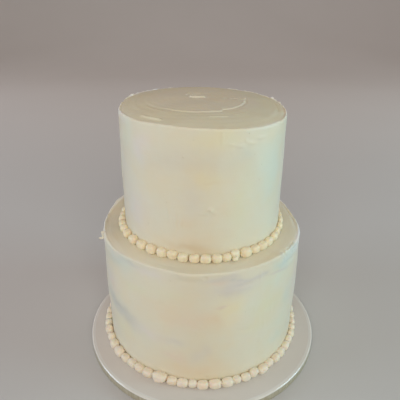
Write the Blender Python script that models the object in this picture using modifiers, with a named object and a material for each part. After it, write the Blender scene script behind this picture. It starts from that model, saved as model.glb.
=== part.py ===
# A two-tier wedding cake in smooth buttercream, with a border of piped pearls round the foot
# of each tier, on its round cake drum. Metres, +Z up, the front towards -Y.
# The origin is on the underside of the drum, at its centre.

import math

import bpy
import numpy as np

# Driving sizes
DRUM_RADIUS = 0.127
DRUM_THICKNESS = 0.010
DRUM_EDGE_ROUND = 0.0010
DRUM_FOOT_ROUND = 0.0008
LOWER_RADIUS = 0.1032
LOWER_HEIGHT = 0.1304
UPPER_RADIUS = 0.0794
UPPER_HEIGHT = 0.1206
PEARL_HEIGHT = 0.0094
PEARL_DEPTH = 0.0088
REST_GAP = 0.0003          # between pieces that rest on or against each other

# The tiers stand a little off the middle of the drum, as they were set down
LOWER_CENTRE = (-0.0012, 0.0052)
UPPER_CENTRE = (-0.0009, 0.0037)

# Unevenness of the icing: (waves round the tier, size, angle of the crest), the angle from the front
UPPER_RIM_WAVES = ((1, 0.00215, -92.0), (2, 0.00108, -18.0), (3, 0.00063, -6.0))
UPPER_WALL_WAVES = ((2, 0.0004, 20.0), (3, 0.0003, 75.0))
LOWER_RIM_WAVES = ((2, 0.0006, 15.0), (5, 0.0004, -24.0))
LOWER_WALL_WAVES = ((2, 0.0004, 80.0), (3, 0.0004, 60.0))

# Places where a rim stands out or in, or rises or falls: (angle in degrees, half width in degrees, size)
UPPER_RIM_SWELLS = ((-92.0, 20.0, -0.0017), (92.0, 18.0, -0.0006), (-122.0, 14.0, 0.0006))
UPPER_WALL_SWELLS = ((-90.0, 45.0, 0.0006),)
LOWER_RIM_SWELLS = (
    (97.0, 15.0, -0.0026), (78.0, 22.0, -0.0006), (-84.0, 20.0, -0.0014),
    (-38.0, 16.0, -0.0015), (-118.0, 12.0, 0.0015),
)
LOWER_WALL_SWELLS = ((88.0, 30.0, 0.0004),)
LOWER_RIM_RISES = ((97.0, 17.0, -0.0022), (-117.0, 11.0, 0.0024))

# Icing on top of the upper tier: a low mound, smoothed in a swirl that leaves a step and a groove
MOUND_HEIGHT = 0.0078
SWIRL_CENTRE = (-0.006, 0.001)
STEP_RADIUS = 0.0480
STEP_HEIGHT = 0.0005
STEP_WIDTH = 0.004
GROOVE_DEPTH = 0.0003
GROOVE_OUTSIDE = 0.0035    # how far outside the step the groove runs
GROOVE_WIDTH = 0.0025
CURL_RADIUS = 0.0105
CURL_HEIGHT = 0.0006
CURL_WIDTH = 0.0028
CURL_FADE = 40.0           # degrees over which the curl rises at its ends
CURL_START, CURL_END = -150.0, 75.0

# Rim of the tiers: a thin lip that the scraper leaves, on the lower tier only at the back
LIP_WIDTH = 0.0022
UPPER_LIP_HEIGHT = 0.0005
UPPER_LIP_INSET = 0.0007
LOWER_LIP_HEIGHT = 0.0009
LOWER_RIM_ROUND = 0.0022
LOWER_LIP_SIDES = (85.0, 110.0)    # the lip grows from nothing to its full height between these angles
LOWER_LIP_START = 0.094    # the ledge is level inside this radius, under the pearls and the upper tier

# A ragged flake of icing that stands out from the lower rim, at the left
FLAKE_ANGLE = -73.0
FLAKE_STANDOFF = 0.0006
FLAKE_HALF_WIDTH = 0.0016
# of each lump: depth under the rim, reach, half height, lean in radians
FLAKE_LUMPS = ((0.0017, 0.0036, 0.0022, 0.3), (0.0070, 0.0030, 0.0019, -0.4))

# Pearls by the angle in degrees that each takes: those at the front as piped, then the rest
LOWER_FRONT_START = -63.7
LOWER_FRONT_PEARLS = (
    7.2, 7.1, 5.5, 5.4, 6.1, 6.2, 8.2, 5.8, 5.8, 4.9, 5.9, 6.8, 6.3, 4.6, 5.6, 5.3, 5.9, 5.6,
    5.5, 6.0, 6.3, 5.5, 5.5, 5.5, 5.4,
)
LOWER_OTHER_PEARLS = 36
UPPER_FRONT_START = -66.6
UPPER_FRONT_PEARLS = (
    9.6, 9.5, 8.7, 9.0, 7.3, 7.2, 7.5, 7.2, 6.8, 6.7, 6.0, 6.4, 8.3, 6.6, 7.1, 7.7, 7.4, 7.6, 8.6, 8.2,
)
UPPER_OTHER_PEARLS = 28
PEARL_UNEVENNESS = 0.10
# about this angle, over this half width in degrees, the upper pearls are less deep by this share
UPPER_SLIM = (85.0, 45.0, 0.30)

# Mesh fineness
UPPER_STEPS = 80
LOWER_STEPS = 80
DRUM_STEPS = 80
PEARL_SIDES = 8
PEARL_SECTIONS = 4
PEARL_NECK = 0.4           # thickness of a border where two pearls touch, against a pearl's own

LEDGE_LEVEL = DRUM_THICKNESS + LOWER_HEIGHT
FLAT_SHADE_ANGLE = math.radians(50.0)


def clear_scene():
    for thing in list(bpy.data.objects):
        bpy.data.objects.remove(thing, do_unlink=True)


def new_collection(name):
    group = bpy.data.collections.new(name)
    bpy.context.scene.collection.children.link(group)
    return group


def finish_material(name, colour, roughness, metallic=0.0):
    material = bpy.data.materials.new(name)
    material.use_nodes = True
    shader = material.node_tree.nodes["Principled BSDF"]
    shader.inputs["Base Color"].default_value = (*colour, 1.0)
    shader.inputs["Roughness"].default_value = roughness
    shader.inputs["Metallic"].default_value = metallic
    return material


def link_mesh(name, mesh, group, material):
    piece = bpy.data.objects.new(name, mesh)
    group.objects.link(piece)
    mesh.materials.clear()
    mesh.materials.append(material)
    mesh.shade_smooth()
    mesh.set_sharp_from_angle(angle=FLAT_SHADE_ANGLE)
    return piece


def turned_mesh(name, outline, steps):
    """The outline, from the top's centre round to the underside's, turned about Z into a closed mesh."""
    profile = bpy.data.meshes.new(name + "_profile")
    edges = [(i, i + 1) for i in range(len(outline) - 1)]
    profile.from_pydata([(r, 0.0, z) for r, z in outline], edges, [])
    holder = bpy.data.objects.new(name + "_profile", profile)
    bpy.context.scene.collection.objects.link(holder)
    screw = holder.modifiers.new("turn", "SCREW")
    screw.axis = "Z"
    screw.angle = math.tau
    screw.steps = steps
    screw.render_steps = steps
    screw.use_merge_vertices = True
    screw.merge_threshold = 0.00001
    depsgraph = bpy.context.evaluated_depsgraph_get()
    mesh = bpy.data.meshes.new_from_object(holder.evaluated_get(depsgraph))
    mesh.name = name
    bpy.data.objects.remove(holder, do_unlink=True)
    bpy.data.meshes.remove(profile)
    return mesh


def points_of(mesh):
    flat = np.empty(len(mesh.vertices) * 3)
    mesh.vertices.foreach_get("co", flat)
    return flat.reshape(-1, 3)


def set_points(mesh, points):
    mesh.vertices.foreach_set("co", points.ravel())
    mesh.update()


def wave_sum(waves, angle, share=1.0):
    """The waves added up at each angle; share fades a wave with n crests as its nth power."""
    total = np.zeros_like(angle)
    for count, size, crest in waves:
        total += size * share ** count * np.cos(count * (angle - math.radians(crest)))
    return total


def spot_sum(spots, angle):
    """The spots added up at each angle, each a bell of its half width in degrees."""
    total = np.zeros_like(angle)
    for middle, half_width, size in spots:
        away = (np.degrees(angle) - middle + 180.0) % 360.0 - 180.0
        total += size * ridge(away, half_width)
    return total


def smooth_step(value, low, high):
    t = np.clip((value - low) / (high - low), 0.0, 1.0)
    return t * t * (3.0 - 2.0 * t)


def ridge(distance, width):
    return np.exp(-(distance / width) ** 2)


def swirl_relief(radius, angle):
    """Height of the smoothed icing over the rim's level, at a grid radius and angle on the top."""
    share = radius / UPPER_RADIUS
    mound = MOUND_HEIGHT * (1.0 - share ** 3)
    step_start = STEP_RADIUS - STEP_WIDTH / 4.0
    step = STEP_HEIGHT * (1.0 - smooth_step(radius, step_start, step_start + STEP_WIDTH))
    groove = GROOVE_DEPTH * ridge(radius - STEP_RADIUS - GROOVE_OUTSIDE, GROOVE_WIDTH)
    turn = np.degrees(angle)
    risen = smooth_step(turn, CURL_START, CURL_START + CURL_FADE)
    fallen = smooth_step(turn, CURL_END - CURL_FADE, CURL_END)
    curl = CURL_HEIGHT * ridge(radius - CURL_RADIUS, CURL_WIDTH) * risen * (1.0 - fallen)
    return mound + step - groove + curl


def upper_outline():
    inner_rings = (0.005, CURL_RADIUS, 0.0165, 0.027, 0.038)
    outer_rings = (STEP_RADIUS - 0.003, STEP_RADIUS, 0.0510, 0.0555, 0.063, 0.070)
    outline = [(0.0, UPPER_HEIGHT)]
    outline += [(r, UPPER_HEIGHT) for r in inner_rings + outer_rings]
    outline.append((UPPER_RADIUS - LIP_WIDTH, UPPER_HEIGHT))
    outline.append((UPPER_RADIUS - UPPER_LIP_INSET, UPPER_HEIGHT + UPPER_LIP_HEIGHT))
    levels = (0.9975, 0.75, 0.5, 0.25, 0.08, 0.0)
    outline += [(UPPER_RADIUS, UPPER_HEIGHT * level) for level in levels]
    outline += [(0.0, 0.0)]
    return outline


def make_upper_tier(group):
    mesh = turned_mesh("top_tier", upper_outline(), UPPER_STEPS)
    points = points_of(mesh)
    x, y, z = points.T
    radius = np.hypot(x, y)
    angle = np.arctan2(x, -y)
    share = np.minimum(radius / UPPER_RADIUS, 1.0)
    height = z / UPPER_HEIGHT
    on_top = z > UPPER_HEIGHT - 0.0001
    # the whole height follows the rim's rise and fall, less towards the foot
    lifted = z + height * wave_sum(UPPER_RIM_WAVES, angle, share)
    lifted = lifted + np.where(on_top, swirl_relief(radius, angle), 0.0)
    # the wall swells a little between foot and rim; the foot keeps its radius for the pearls
    wall = wave_sum(UPPER_WALL_WAVES, angle) + spot_sum(UPPER_WALL_SWELLS, angle)
    swell = wall * smooth_step(height, 0.1, 0.5) * share
    swell = swell + spot_sum(UPPER_RIM_SWELLS, angle) * smooth_step(height, 0.5, 0.95) * share ** 4
    slide = np.where(on_top, 1.0 - share ** 2, 0.0)
    moved = np.stack([
        x + swell * np.sin(angle) + slide * SWIRL_CENTRE[0],
        y - swell * np.cos(angle) + slide * SWIRL_CENTRE[1],
        lifted,
    ], 1)
    set_points(mesh, moved)
    icing = finish_material("upper_icing", (0.80, 0.74, 0.58), 0.55)
    tier = link_mesh("top_tier", mesh, group, icing)
    tier.location = (*UPPER_CENTRE, LEDGE_LEVEL + REST_GAP)
    return tier


def lower_outline():
    outline = [(0.0, LOWER_HEIGHT - REST_GAP), (LOWER_LIP_START, LOWER_HEIGHT - REST_GAP)]
    top = LOWER_HEIGHT - REST_GAP
    outline += [(LOWER_RADIUS - 2.0 * LOWER_RIM_ROUND, top)]
    for corner in range(4):
        turn = corner / 3.0 * math.pi / 2.0
        outline.append((LOWER_RADIUS - LOWER_RIM_ROUND * (1.0 - math.sin(turn)),
                        top - LOWER_RIM_ROUND * (1.0 - math.cos(turn))))
    levels = (0.94, 0.70, 0.42, 0.09, 0.0)
    outline += [(LOWER_RADIUS, top * level) for level in levels]
    outline += [(0.0, 0.0)]
    return outline


def make_flake_lumps(group):
    """Small lumps of icing, part sunk in the wall under the lower rim, to be joined with the tier."""
    angle = math.radians(FLAKE_ANGLE)
    out = LOWER_RADIUS + FLAKE_STANDOFF
    for number, (depth, reach, half_height, lean) in enumerate(FLAKE_LUMPS):
        bpy.ops.mesh.primitive_ico_sphere_add(subdivisions=2, radius=1.0)
        lump = bpy.context.active_object
        lump.name = "flake_lump_%d" % number
        lump.data.transform(lump.matrix_world)
        points = points_of(lump.data) * (reach, FLAKE_HALF_WIDTH, half_height)
        set_points(lump.data, points)
        lump.rotation_euler = (0.0, lean, angle - math.pi / 2.0)
        lump.location = (out * math.sin(angle), -out * math.cos(angle), LOWER_HEIGHT - depth)
        for holder in list(lump.users_collection):
            holder.objects.unlink(lump)
        group.objects.link(lump)
        lump.hide_render = True
        lump.display_type = "WIRE"


def make_lower_tier(group, cutters):
    mesh = turned_mesh("bottom_tier", lower_outline(), LOWER_STEPS)
    points = points_of(mesh)
    x, y, z = points.T
    radius = np.hypot(x, y)
    angle = np.arctan2(x, -y)
    height = z / LOWER_HEIGHT
    at_rim = smooth_step(radius, LOWER_LIP_START, LOWER_RADIUS - LIP_WIDTH)
    rise = (wave_sum(LOWER_RIM_WAVES, angle) + spot_sum(LOWER_RIM_RISES, angle)) * at_rim
    lip = LOWER_LIP_HEIGHT * smooth_step(np.abs(np.degrees(angle)), *LOWER_LIP_SIDES)
    lip_crest = LOWER_RADIUS - LOWER_RIM_ROUND / 2.0
    rise = rise + lip * ridge(radius - lip_crest, LIP_WIDTH / 2.0) * (height > 0.9)
    rise = rise * smooth_step(height, 0.3, 0.9)
    wall = wave_sum(LOWER_WALL_WAVES, angle) + spot_sum(LOWER_WALL_SWELLS, angle)
    rim = spot_sum(LOWER_RIM_SWELLS, angle)
    swell = (wall * smooth_step(height, 0.1, 0.5) + rim * smooth_step(height, 0.55, 0.95)) * at_rim
    set_points(mesh, np.stack([x + swell * np.sin(angle), y - swell * np.cos(angle), z + rise], 1))
    icing = finish_material("lower_icing", (0.80, 0.74, 0.60), 0.55)
    tier = link_mesh("bottom_tier", mesh, group, icing)
    make_flake_lumps(cutters)
    join = tier.modifiers.new("flake", "BOOLEAN")
    join.operation = "UNION"
    join.operand_type = "COLLECTION"
    join.collection = cutters
    join.solver = "EXACT"
    depsgraph = bpy.context.evaluated_depsgraph_get()
    joined = bpy.data.meshes.new_from_object(tier.evaluated_get(depsgraph))
    bpy.data.objects.remove(tier, do_unlink=True)
    for lump in list(cutters.objects):
        bpy.data.objects.remove(lump, do_unlink=True)
    tier = link_mesh("bottom_tier", joined, group, icing)
    tier.location = (*LOWER_CENTRE, DRUM_THICKNESS + REST_GAP)
    return tier


def pearl_widths(front, others, seed):
    """Angle that each pearl takes round its border: the front ones, then others as uneven."""
    rng = np.random.default_rng(seed)
    rest = 1.0 + PEARL_UNEVENNESS * np.clip(rng.normal(size=others), -1.6, 2.2)
    rest *= (360.0 - sum(front)) / rest.sum()
    return np.radians(np.concatenate([front, rest]))


def make_border(name, group, material, widths, start, wall_radius, centre, level, slim):
    """A closed ring of pearls that touch sideways: a torus whose tube swells at each pearl."""
    count = len(widths)
    bpy.ops.mesh.primitive_torus_add(
        major_segments=count * PEARL_SECTIONS, minor_segments=PEARL_SIDES,
        major_radius=wall_radius, minor_radius=PEARL_HEIGHT / 2.0)
    torus = bpy.context.active_object
    mesh = torus.data
    index = np.arange(len(mesh.vertices))
    section = index // PEARL_SIDES
    side = index % PEARL_SIDES
    pearl = section // PEARL_SECTIONS
    along = (section % PEARL_SECTIONS) / PEARL_SECTIONS * 2.0 - 1.0
    starts = math.radians(start) + np.concatenate([[0.0], np.cumsum(widths)[:-1]])
    angle = starts[pearl] + (along + 1.0) / 2.0 * widths[pearl]
    tube = np.maximum(np.sqrt(1.0 - along ** 2), PEARL_NECK)
    # wide pearls are also a little higher and deeper; a neck takes the mean of its two pearls
    bulk = (widths / widths.mean()) ** 0.5
    bulk_here = np.where(along > -1.0, bulk[pearl], (bulk[pearl] + bulk[pearl - 1]) / 2.0)
    # eight sides with a flat one below, on the ledge, and a flat one towards the wall
    turn = (side + 0.5) / PEARL_SIDES * math.tau
    corner = 1.0 / math.cos(math.pi / PEARL_SIDES)
    half_depth = PEARL_DEPTH / 2.0 * bulk_here * (1.0 - spot_sum(slim, angle))
    half_height = PEARL_HEIGHT / 2.0 * bulk_here
    radius = wall_radius + REST_GAP + half_depth * (1.0 + tube * corner * np.cos(turn))
    z = REST_GAP + half_height * (1.0 + tube * corner * np.sin(turn))
    set_points(mesh, np.stack([radius * np.sin(angle), -radius * np.cos(angle), z], 1))
    bpy.data.objects.remove(torus, do_unlink=True)
    mesh.name = name
    border = link_mesh(name, mesh, group, material)
    border.location = (*centre, level)
    return border


def make_drum(group):
    """A round board with a rounded upper edge and a small round below, flat underneath."""
    outline = [(0.0, DRUM_THICKNESS), (DRUM_RADIUS - DRUM_EDGE_ROUND, DRUM_THICKNESS)]
    for corner in range(1, 5):
        turn = corner / 4.0 * math.pi / 2.0
        outline.append((DRUM_RADIUS - DRUM_EDGE_ROUND * (1.0 - math.sin(turn)),
                        DRUM_THICKNESS - DRUM_EDGE_ROUND * (1.0 - math.cos(turn))))
    outline += [(DRUM_RADIUS, DRUM_FOOT_ROUND), (DRUM_RADIUS - DRUM_FOOT_ROUND, 0.0), (0.0, 0.0)]
    mesh = turned_mesh("cake_drum", outline, DRUM_STEPS)
    foil = finish_material("drum_foil", (0.62, 0.60, 0.56), 0.35, 0.1)
    return link_mesh("cake_drum", mesh, group, foil)


def main():
    clear_scene()
    cake = new_collection("tiered_cake")
    cutters = new_collection("cutters")
    base = bpy.data.objects.new("cake_base", None)
    cake.objects.link(base)
    pearl = finish_material("pearl_icing", (0.82, 0.74, 0.54), 0.5)
    pieces = [
        make_drum(cake),
        make_lower_tier(cake, cutters),
        make_upper_tier(cake),
        make_border("bottom_border", cake, pearl, pearl_widths(LOWER_FRONT_PEARLS, LOWER_OTHER_PEARLS, 7),
                    LOWER_FRONT_START, LOWER_RADIUS, LOWER_CENTRE, DRUM_THICKNESS, ()),
        make_border("top_border", cake, pearl, pearl_widths(UPPER_FRONT_PEARLS, UPPER_OTHER_PEARLS, 11),
                    UPPER_FRONT_START, UPPER_RADIUS, UPPER_CENTRE, LEDGE_LEVEL, (UPPER_SLIM,)),
    ]
    for piece in pieces:
        piece.parent = base


main()
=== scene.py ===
import math

import bpy
import numpy as np
from mathutils import Matrix, Vector


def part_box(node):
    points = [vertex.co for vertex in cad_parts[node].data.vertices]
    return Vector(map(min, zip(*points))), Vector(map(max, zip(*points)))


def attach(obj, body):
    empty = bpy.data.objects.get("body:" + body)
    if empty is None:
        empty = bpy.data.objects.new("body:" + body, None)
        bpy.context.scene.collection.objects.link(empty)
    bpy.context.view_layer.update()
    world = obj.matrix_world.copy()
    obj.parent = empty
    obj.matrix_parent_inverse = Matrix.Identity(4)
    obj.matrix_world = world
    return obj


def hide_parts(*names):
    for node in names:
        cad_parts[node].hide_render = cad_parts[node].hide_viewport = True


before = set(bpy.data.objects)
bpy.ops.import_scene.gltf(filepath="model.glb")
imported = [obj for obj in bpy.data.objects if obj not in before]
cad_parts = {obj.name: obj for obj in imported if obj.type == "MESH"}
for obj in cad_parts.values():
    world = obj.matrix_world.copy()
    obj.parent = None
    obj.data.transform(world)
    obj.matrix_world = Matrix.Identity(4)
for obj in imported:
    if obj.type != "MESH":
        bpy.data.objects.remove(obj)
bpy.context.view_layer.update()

# A two-tier cake in smooth buttercream with piped pearls round both feet, on its round board.
# Metres, +Z up, the front towards -Y. An angle round the cake is counted from the front towards +X.

cake = {
    "boardRadius": 0.127,
    "boardThickness": 0.010,
    "lowerRadius": 0.1032,
    "lowerHeight": 0.1304,
    "lowerCentre": (-0.0012, 0.0052),
    "upperRadius": 0.0794,
    "upperHeight": 0.1206,
    "upperCentre": (-0.0009, 0.0037),
    "restGap": 0.0003,
}
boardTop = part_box("cake_drum")[1].z
ledgeLevel = cake["boardThickness"] + cake["lowerHeight"]
millimetre = 0.001


# Shapes: every piece is worked out on a grid

def roundTheCake(radius, angle, height, centre):
    # x = cx + r sin(a), y = cy - r cos(a), so that a = 0 looks at the viewer
    x = centre[0] + radius * np.sin(angle)
    y = centre[1] - radius * np.cos(angle)
    return np.stack(np.broadcast_arrays(x, y, height), -1)


def smoothStep(value, low, high):
    # 3t^2 - 2t^3 between low and high
    t = np.clip((value - low) / (high - low), 0.0, 1.0)
    return t * t * (3.0 - 2.0 * t)


def bell(distance, width):
    # exp(-(d / w)^2)
    return np.exp(-(distance / width) ** 2)


def turnFrom(angle, start):
    # shortest turn from start to angle, in degrees from -180 to 180
    return (np.degrees(angle) - start + 180.0) % 360.0 - 180.0


def window(turn, start, end, soft):
    # 1 between the angles start and end in degrees, falling to 0 over soft degrees outside them
    middle = (start + end) / 2.0
    half = (end - start) / 2.0
    away = np.abs((turn - middle + 180.0) % 360.0 - 180.0)
    return 1.0 - smoothStep(away, half, half + soft)


def bellsRound(spots, turn):
    # sum of size * exp(-(turn from the spot / half turn)^2), all turns in degrees
    total = np.zeros_like(turn)
    for middle, halfTurn, size in spots:
        total = total + size * bell((turn - middle + 180.0) % 360.0 - 180.0, halfTurn)
    return total


def softNoise(points, size, seed, count=28):
    # sum of cosine waves cos(k.p + phase) in random directions, each about `size` long, within about -1..1
    draw = np.random.default_rng(seed)
    direction = draw.normal(size=(count, 3))
    direction /= np.linalg.norm(direction, axis=1, keepdims=True)
    length = size * draw.uniform(0.7, 1.6, count)
    phase = draw.uniform(0.0, math.tau, count)
    waves = np.cos(points @ (direction * (math.tau / length)[:, None]).T + phase)
    return waves.sum(-1) / math.sqrt(count * 2.0)


def ringNoise(angle, low, high, seed):
    # sum over n = low..high of cos(n a + phase) / sqrt(n), which closes on itself round the cake
    draw = np.random.default_rng(seed)
    total = np.zeros_like(angle)
    weight = 0.0
    for n in range(low, high + 1):
        size = draw.uniform(0.4, 1.0) / math.sqrt(n)
        total += size * np.cos(n * angle + draw.uniform(0.0, math.tau))
        weight += size * size
    return total / math.sqrt(weight * 2.0)


def waveSum(waves, angle, share=1.0):
    # sum of size * share^n * cos(n (a - crest))
    total = np.zeros(np.broadcast(angle, share).shape)
    for count, size, crest in waves:
        total = total + size * share ** count * np.cos(count * (angle - math.radians(crest)))
    return total


def windowsRound(spans, turn):
    # sum of size * window for each (from, to, soft, size)
    return sum(size * window(turn, first, last, soft) for first, last, soft, size in spans)


def unitBall(rows, columns):
    # theta from the pole at +z down to -z, phi round it, and the points (sin t cos p, sin t sin p, cos t)
    theta = np.linspace(0.0, math.pi, rows)[:, None]
    phi = np.linspace(0.0, math.tau, columns, endpoint=False)[None, :]
    east, north = np.sin(theta) * np.cos(phi), np.sin(theta) * np.sin(phi)
    return theta, phi, np.stack(np.broadcast_arrays(east, north, np.cos(theta)), -1)


def placeMesh(name, vertices, faces, material, flatAngle):
    mesh = bpy.data.meshes.new(name)
    mesh.from_pydata(vertices.reshape(-1, 3).tolist(), [], faces)
    mesh.shade_smooth()
    mesh.set_sharp_from_angle(angle=math.radians(flatAngle))
    mesh.materials.append(material)
    piece = bpy.data.objects.new(name, mesh)
    bpy.context.scene.collection.objects.link(piece)
    return piece


def closedMesh(name, grids, material, flatAngle=60.0):
    # grids is pieces x rows x columns x 3: the first and last rows are poles, the columns meet
    pieces, rows, columns = grids.shape[:3]
    size = (rows - 2) * columns + 2
    inner = grids[:, 1:-1].reshape(pieces, -1, 3)
    vertices = np.concatenate([grids[:, :1, 0], inner, grids[:, -1:, 0]], 1)
    here = np.arange(columns)
    after = (here + 1) % columns
    start = 1 + np.arange(rows - 3)[:, None] * columns
    quads = np.stack([start + here, start + columns + here, start + columns + after, start + after], -1)
    last = 1 + (rows - 3) * columns
    topFan = np.stack([np.zeros_like(here), 1 + here, 1 + after], -1)
    footFan = np.stack([last + here, np.full_like(here, size - 1), last + after], -1)
    shift = np.arange(pieces)[:, None, None] * size
    faces = (quads.reshape(1, -1, 4) + shift).reshape(-1, 4).tolist()
    faces += (topFan[None] + shift).reshape(-1, 3).tolist()
    faces += (footFan[None] + shift).reshape(-1, 3).tolist()
    return placeMesh(name, vertices, faces, material, flatAngle)


def bandMesh(name, grid, material, rowsMeet, flatAngle=40.0):
    # rows x columns x 3: the columns meet round a full turn, and the rows too where the section is closed
    rows, columns = grid.shape[:2]
    row = np.arange(rows if rowsMeet else rows - 1)[:, None]
    here = row * columns
    below = (row + 1) % rows * columns
    left = np.arange(columns)[None, :]
    right = (left + 1) % columns
    faces = np.stack([here + left, below + left, below + right, here + right], -1)
    return placeMesh(name, grid, faces.reshape(-1, 4).tolist(), material, flatAngle)


def pointsOf(mesh):
    flat = np.empty(len(mesh.vertices) * 3, np.float32)
    mesh.vertices.foreach_get("co", flat)
    return flat.reshape(-1, 3).astype(float)


def putColour(mesh, name, colours):
    layer = mesh.attributes.new(name, "FLOAT_COLOR", "POINT")
    full = np.concatenate([colours, np.ones((len(colours), 1))], 1)
    layer.data.foreach_set("color", full.astype(np.float32).ravel())


def putNumber(mesh, name, values):
    layer = mesh.attributes.new(name, "FLOAT", "POINT")
    layer.data.foreach_set("value", values.astype(np.float32))


# Shader maths: an expression on wires adds the nodes

class Wire:
    # one output socket of a material's node
    def __init__(self, recipe, socket):
        self.recipe = recipe
        self.socket = socket

    def maths(self, operation, *others):
        return self.recipe.add("ShaderNodeMath", {"operation": operation}, [self, *others])

    def __add__(self, other):
        return self.maths("ADD", other)

    def __radd__(self, other):
        return self.maths("ADD", other)

    def __sub__(self, other):
        return self.maths("SUBTRACT", other)

    def __rsub__(self, other):
        return self.recipe.add("ShaderNodeMath", {"operation": "SUBTRACT"}, [other, self])

    def __mul__(self, other):
        return self.maths("MULTIPLY", other)

    def __rmul__(self, other):
        return self.maths("MULTIPLY", other)

    def __neg__(self):
        return self.maths("MULTIPLY", -1.0)

    def between(self, low, high):
        # 0 at low and under, 1 at high and over, smooth in the middle
        inputs = {"Value": self, "From Min": low, "From Max": high}
        return self.recipe.add("ShaderNodeMapRange", {"interpolation_type": "SMOOTHSTEP"}, inputs)


class Recipe:
    # a material under construction
    def __init__(self, name):
        self.material = bpy.data.materials.new(name)
        self.material.use_nodes = True
        self.tree = self.material.node_tree
        self.shader = self.tree.nodes["Principled BSDF"]
        self.place = self.add("ShaderNodeTexCoord", {}, {}, "Object")

    def add(self, kind, settings, inputs, output=0):
        # any node: its settings first, then the value or wire of each of its sockets
        node = self.tree.nodes.new(kind)
        for name, value in settings.items():
            setattr(node, name, value)
        named = enumerate(inputs) if isinstance(inputs, list) else inputs.items()
        for key, value in named:
            self.feed(node.inputs[key], value)
        return Wire(self, node.outputs[output])

    def feed(self, socket, value):
        if isinstance(value, Wire):
            self.tree.links.new(value.socket, socket)
        elif isinstance(value, tuple) and len(value) == 3 and socket.type == "RGBA":
            socket.default_value = (*value, 1.0)
        else:
            socket.default_value = value

    def split(self, wire):
        parts = self.tree.nodes.new("ShaderNodeSeparateXYZ")
        self.feed(parts.inputs[0], wire)
        return [Wire(self, socket) for socket in parts.outputs]

    def join(self, x, y, z):
        return self.add("ShaderNodeCombineXYZ", {}, [x, y, z])

    def noise(self, where, scale, detail, roughness=0.5):
        inputs = {"Vector": where, "Scale": scale, "Detail": detail, "Roughness": roughness}
        return self.add("ShaderNodeTexNoise", {}, inputs)

    def number(self, name):
        return self.add("ShaderNodeAttribute", {"attribute_name": name}, {}, "Fac")

    def mix(self, share, first, second, way="MIX"):
        # colours go through Mix, because Math would turn them grey
        settings = {"data_type": "RGBA", "blend_type": way}
        return self.add("ShaderNodeMix", settings, {0: share, 6: first, 7: second}, 2)

    def bump(self, relief):
        # relief is in metres
        return self.add("ShaderNodeBump", {}, {"Height": relief, "Distance": 1.0, "Strength": 1.0})

    def glow(self, look):
        # light that travels under buttercream, red the furthest
        shader = self.shader.inputs
        shader["Subsurface Weight"].default_value = look["glow"]
        shader["Subsurface Radius"].default_value = (1.0, 0.65, 0.35)
        shader["Subsurface Scale"].default_value = look["glowDepth"]

    def finish(self, **sockets):
        for name, value in sockets.items():
            self.feed(self.shader.inputs[name.replace("_", " ")], value)
        return self.material


def icingMaterial(name, look, centre, foot):
    # Buttercream: the hand-mixed tints of the mesh, with painted shade, shadow and highlight among them,
    # times an ivory base, a slow mottle, scraper streaks round the wall and the top, a fine grain and a few
    # pin holes darkened with painted shade. Streaks vary fast along height on the wall and along radius on
    # the top, and slowly round the tier.
    recipe = Recipe(name)
    x, y, z = recipe.split(recipe.place)
    east = x - centre[0]
    north = y - centre[1]
    angle = east.maths("ARCTAN2", -north)
    radius = (east * east + north * north).maths("SQRT")
    height = z - foot
    onWall = radius.between(look["radius"] - 2.0 * millimetre, look["radius"] - millimetre)
    long = look["streakLength"]
    fine = look["streakFineness"]
    wallWay = recipe.join(angle.maths("SINE") * long, height * fine, angle.maths("COSINE") * long)
    topWay = recipe.join(east * look["sweepLength"], radius * fine, north * look["sweepLength"])
    way = recipe.add("ShaderNodeMix", {"data_type": "VECTOR"}, {0: onWall, 4: topWay, 5: wallWay}, 1)
    streak = recipe.noise(way, 1.0, 3.0, 0.6)
    mottle = recipe.noise(recipe.place, 1.0 / look["mottleSize"], 3.0, 0.55)
    grain = recipe.noise(recipe.place, 1.0 / look["grainSize"], 3.0, 0.6)
    cells = {"Vector": recipe.place, "Scale": 1.0 / look["holeSpacing"]}
    holes = recipe.add("ShaderNodeTexVoronoi", {}, cells)
    hole = 1.0 - holes.between(look["holeSize"] * 0.5, look["holeSize"])
    tint = recipe.add("ShaderNodeAttribute", {"attribute_name": "tint"}, {}, "Color")
    base = recipe.mix(mottle.between(0.35, 0.7), look["colour"], look["warmColour"])
    base = recipe.mix(streak.between(0.45, 0.8) * look["streakShare"], base, look["paleColour"])
    base = recipe.mix(1.0, base, tint, "MULTIPLY")
    # painted shade: the pin holes are darkened inside
    base = recipe.mix(hole * look["holeShadeShare"], base, look["holeShadeColour"])
    relief = grain * look["grainDepth"] + streak * look["streakDepth"] - hole * look["holeDepth"]
    rough = look["roughness"] + (mottle - 0.5) * 0.16 + (streak - 0.5) * 0.12
    recipe.glow(look)
    recipe.shader.inputs["Specular IOR Level"].default_value = look["shine"]
    return recipe.finish(Base_Color=base, Roughness=rough, Normal=recipe.bump(relief))


def pearlMaterial(name, look):
    # piped buttercream: each pearl a little paler or warmer than the next, with a fine grain and painted
    # shade in the swirl's groove
    recipe = Recipe(name)
    grain = recipe.noise(recipe.place, 1.0 / look["grainSize"], 3.0, 0.6)
    patch = recipe.noise(recipe.place, 1.0 / look["patchSize"], 2.0)
    base = recipe.mix(recipe.number("own"), look["colour"], look["warmColour"])
    base = recipe.mix(patch.between(0.5, 0.75) * 0.5, base, look["paleColour"])
    # painted shade in the swirl's groove
    base = recipe.mix(recipe.number("grooveShade") * look["grooveShadeShare"], base, look["grooveShadeColour"])
    rough = look["roughness"] + (patch - 0.5) * 0.2
    recipe.glow(look)
    normal = recipe.bump(grain * look["grainDepth"])
    return recipe.finish(Base_Color=base, Roughness=rough, Normal=normal)


# Tints that the icing shows, and painted shade and shadow: each multiplies the ivory of the coat

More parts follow.
